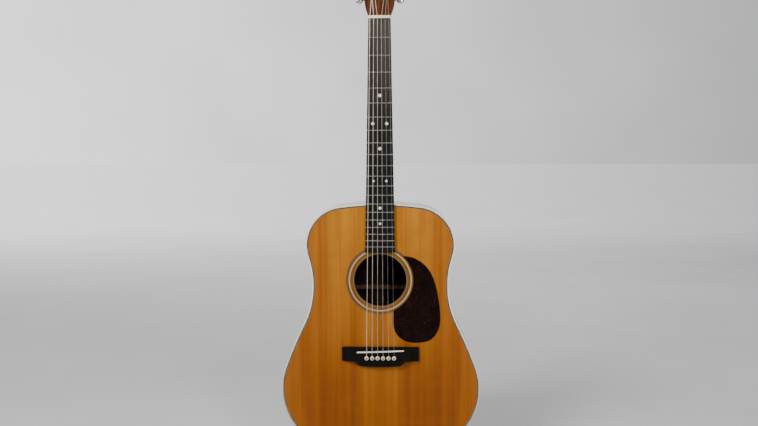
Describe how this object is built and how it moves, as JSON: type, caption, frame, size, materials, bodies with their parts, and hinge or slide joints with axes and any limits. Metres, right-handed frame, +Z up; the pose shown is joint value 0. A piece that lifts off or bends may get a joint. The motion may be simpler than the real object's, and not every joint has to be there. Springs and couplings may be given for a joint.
{
  "type": "acoustic guitar",
  "caption": "Steel-string acoustic guitar: dreadnought body with round sound hole, pickguard and belly bridge, fretted neck and pitched headstock with open-gear tuners that turn.",
  "frame": {"origin": "strap pin's axis where it meets the tail of the body, midway through the body's depth there", "axes": "+Z up the neck, -Y out of the soundboard towards the listener, -X the bass side, +Y out of the back"},
  "size_m": [0.3936, 0.1376, 1.0433],
  "materials": {
    "spruce_top": "satin",
    "spruce_brace": "matte",
    "rosewood": "gloss",
    "mahogany": "satin",
    "ebony": "satin",
    "ivory_plastic": "gloss",
    "inlay_dark": "gloss",
    "pearl": "gloss",
    "fret_wire": "polished",
    "nickel": "polished",
    "tortoise": "gloss",
    "bone": "satin",
    "wound_string": "satin",
    "plain_string": "polished",
    "rod_steel": "matte"
  },
  "bodies": {
    "guitar": {"soundboard": "spruce_top", "rosette_light_rings": "ivory_plastic", "rosette_dark_rings": "inlay_dark", "top_purfling": "inlay_dark", "top_binding": "ivory_plastic", "back_binding": "ivory_plastic", "side_bass": "rosewood", "side_treble": "rosewood", "end_graft": "ivory_plastic", "back_halves": "rosewood", "back_centre_strip": "inlay_dark", "back_graft": "mahogany", "top_linings": "mahogany", "back_linings": "mahogany", "head_block": "mahogany", "tail_block": "mahogany", "x_braces": "spruce_brace", "top_braces": "spruce_brace", "bridge_plate": "rosewood", "back_braces": "spruce_brace", "strap_pin": "bone", "heel_cap": "ivory_plastic", "neck": "mahogany", "truss_rod": "rod_steel", "headplate": "rosewood", "fingerboard": "ebony", "frets": "fret_wire", "fret_markers": "pearl", "nut": "bone", "bridge": "ebony", "saddle": "bone", "bridge_pins": "ivory_plastic", "pickguard": "tortoise", "post_bushings": "nickel", "tuner_plates": "nickel", "tuner_screws": "nickel", "string_e_low": "wound_string", "string_a": "wound_string", "string_d": "wound_string", "string_g": "wound_string", "string_b": "plain_string", "string_e_high": "plain_string"},
    "tuner_key_e_low": {"tuner_button_e_low": "nickel", "worm_shaft_e_low": "nickel"},
    "post_e_low": {"string_post_e_low": "nickel"},
    "tuner_key_a": {"tuner_button_a": "nickel", "worm_shaft_a": "nickel"},
    "post_a": {"string_post_a": "nickel"},
    "tuner_key_d": {"tuner_button_d": "nickel", "worm_shaft_d": "nickel"},
    "post_d": {"string_post_d": "nickel"},
    "tuner_key_g": {"tuner_button_g": "nickel", "worm_shaft_g": "nickel"},
    "post_g": {"string_post_g": "nickel"},
    "tuner_key_b": {"tuner_button_b": "nickel", "worm_shaft_b": "nickel"},
    "post_b": {"string_post_b": "nickel"},
    "tuner_key_e_high": {"tuner_button_e_high": "nickel", "worm_shaft_e_high": "nickel"},
    "post_e_high": {"string_post_e_high": "nickel"}
  },
  "joints": [
    {"name": "key_turn_e_low", "type": "hinge", "parent": "guitar", "child": "tuner_key_e_low", "pos_m": [-0.0181, -0.0335, 0.90667], "axis": [1, 0, 0], "continuous": true},
    {"name": "post_turn_e_low", "type": "hinge", "parent": "guitar", "child": "post_e_low", "pos_m": [-0.0181, -0.04909, 0.91881], "axis": [0, 0.9659, -0.2588], "continuous": true},
    {"name": "key_turn_a", "type": "hinge", "parent": "guitar", "child": "tuner_key_a", "pos_m": [-0.0208, -0.02315, 0.9453], "axis": [1, 0, 0], "continuous": true},
    {"name": "post_turn_a", "type": "hinge", "parent": "guitar", "child": "post_a", "pos_m": [-0.0208, -0.03874, 0.95745], "axis": [0, 0.9659, -0.2588], "continuous": true},
    {"name": "key_turn_d", "type": "hinge", "parent": "guitar", "child": "tuner_key_d", "pos_m": [-0.024, -0.0128, 0.98394], "axis": [1, 0, 0], "continuous": true},
    {"name": "post_turn_d", "type": "hinge", "parent": "guitar", "child": "post_d", "pos_m": [-0.024, -0.02838, 0.99609], "axis": [0, 0.9659, -0.2588], "continuous": true},
    {"name": "key_turn_g", "type": "hinge", "parent": "guitar", "child": "tuner_key_g", "pos_m": [0.024, -0.0128, 0.98394], "axis": [1, 0, 0], "continuous": true},
    {"name": "post_turn_g", "type": "hinge", "parent": "guitar", "child": "post_g", "pos_m": [0.024, -0.02838, 0.99609], "axis": [0, 0.9659, -0.2588], "continuous": true},
    {"name": "key_turn_b", "type": "hinge", "parent": "guitar", "child": "tuner_key_b", "pos_m": [0.0208, -0.02315, 0.9453], "axis": [1, 0, 0], "continuous": true},
    {"name": "post_turn_b", "type": "hinge", "parent": "guitar", "child": "post_b", "pos_m": [0.0208, -0.03874, 0.95745], "axis": [0, 0.9659, -0.2588], "continuous": true},
    {"name": "key_turn_e_high", "type": "hinge", "parent": "guitar", "child": "tuner_key_e_high", "pos_m": [0.0181, -0.0335, 0.90667], "axis": [1, 0, 0], "continuous": true},
    {"name": "post_turn_e_high", "type": "hinge", "parent": "guitar", "child": "post_e_high", "pos_m": [0.0181, -0.04909, 0.91881], "axis": [0, 0.9659, -0.2588], "continuous": true}
  ],
  "couplings": [
    {"joint": "post_turn_e_low", "follows": "key_turn_e_low", "ratio": 0.071429},
    {"joint": "post_turn_a", "follows": "key_turn_a", "ratio": 0.071429},
    {"joint": "post_turn_d", "follows": "key_turn_d", "ratio": 0.071429},
    {"joint": "post_turn_g", "follows": "key_turn_g", "ratio": -0.071429},
    {"joint": "post_turn_b", "follows": "key_turn_b", "ratio": -0.071429},
    {"joint": "post_turn_e_high", "follows": "key_turn_e_high", "ratio": -0.071429}
  ]
}
